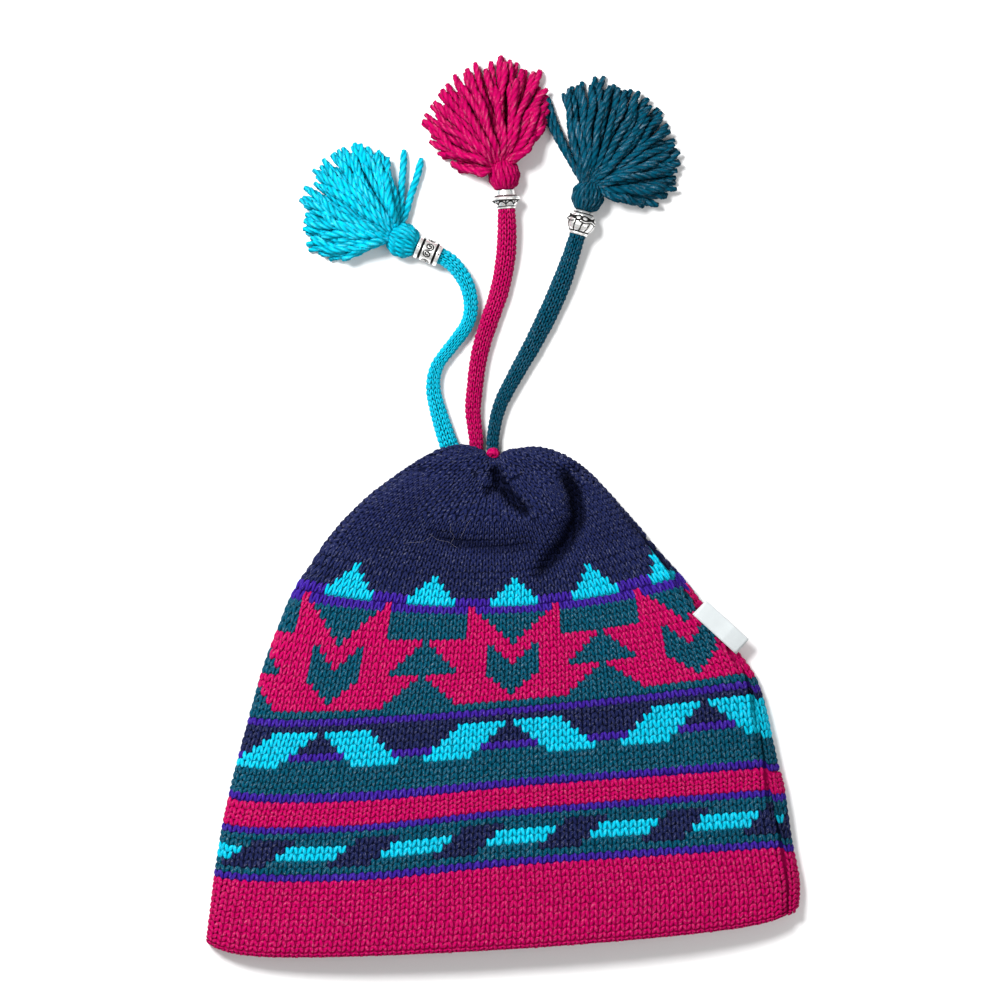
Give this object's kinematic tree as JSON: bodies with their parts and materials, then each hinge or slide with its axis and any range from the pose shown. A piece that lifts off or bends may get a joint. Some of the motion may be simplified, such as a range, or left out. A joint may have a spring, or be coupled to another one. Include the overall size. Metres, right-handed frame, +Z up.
{
  "type": "knitted ski beanie with tasselled cords",
  "caption": "Patterned knitted beanie lying flat, hollow and open at the brim, gathered at the crown, with knitted cords that carry silver beads and yarn tassels",
  "frame": {"origin": "under the middle of the hat's outline, on the surface it lies on", "axes": "+X across the hat from its left fold to its right fold, +Y from the brim to the gathered crown, +Z up from the surface"},
  "size_m": [0.244, 0.3687, 0.0268],
  "materials": {
    "knit_navy": "matte wool knit with a coloured geometric pattern",
    "pink_yarn": "matte wool yarn",
    "turquoise_yarn": "matte wool yarn",
    "teal_yarn": "matte wool yarn",
    "white_satin": "satin ribbon",
    "antique_silver": "cast white metal with darkened recesses"
  },
  "bodies": {
    "root": {"hat_body": "knit_navy", "gather_knot": "pink_yarn", "side_label": "white_satin", "cord_turquoise": "turquoise_yarn", "cord_pink": "pink_yarn", "cord_teal": "teal_yarn", "bead_barrel": "antique_silver", "bead_saucer": "antique_silver", "bead_round": "antique_silver", "tassel_turquoise": "turquoise_yarn", "tassel_pink": "pink_yarn", "tassel_teal": "teal_yarn"}
  },
  "joints": []
}
